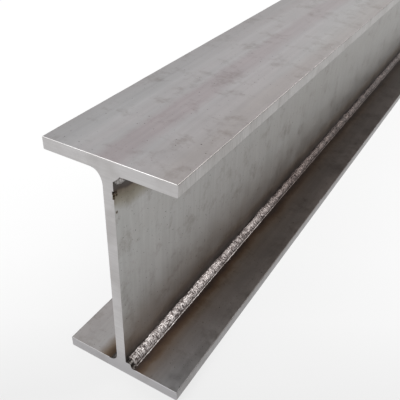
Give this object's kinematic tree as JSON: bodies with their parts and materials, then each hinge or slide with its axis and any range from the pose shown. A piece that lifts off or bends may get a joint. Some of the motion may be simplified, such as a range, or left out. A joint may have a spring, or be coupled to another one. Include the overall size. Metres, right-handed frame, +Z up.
{
  "type": "welded steel h-beam",
  "caption": "Welded steel H-beam: a web plate between flange plates, joined by fillet welds in the corners, with sawn ends.",
  "frame": {"origin": "middle of the underside, at half the length", "axes": "+X across the flanges, +Y along the beam, +Z up through the web"},
  "size_m": [0.15, 3, 0.288],
  "materials": {
    "rolled_plate": "grey mill finish with faint heat tints beside the welds and ground ends",
    "weld_metal": "as welded, rippled, bright"
  },
  "bodies": {
    "root": {"top_flange": "rolled_plate", "web_plate": "rolled_plate", "bottom_flange": "rolled_plate", "weld_top_left": "weld_metal", "weld_top_right": "weld_metal", "weld_bottom_left": "weld_metal", "weld_bottom_right": "weld_metal"}
  },
  "joints": []
}
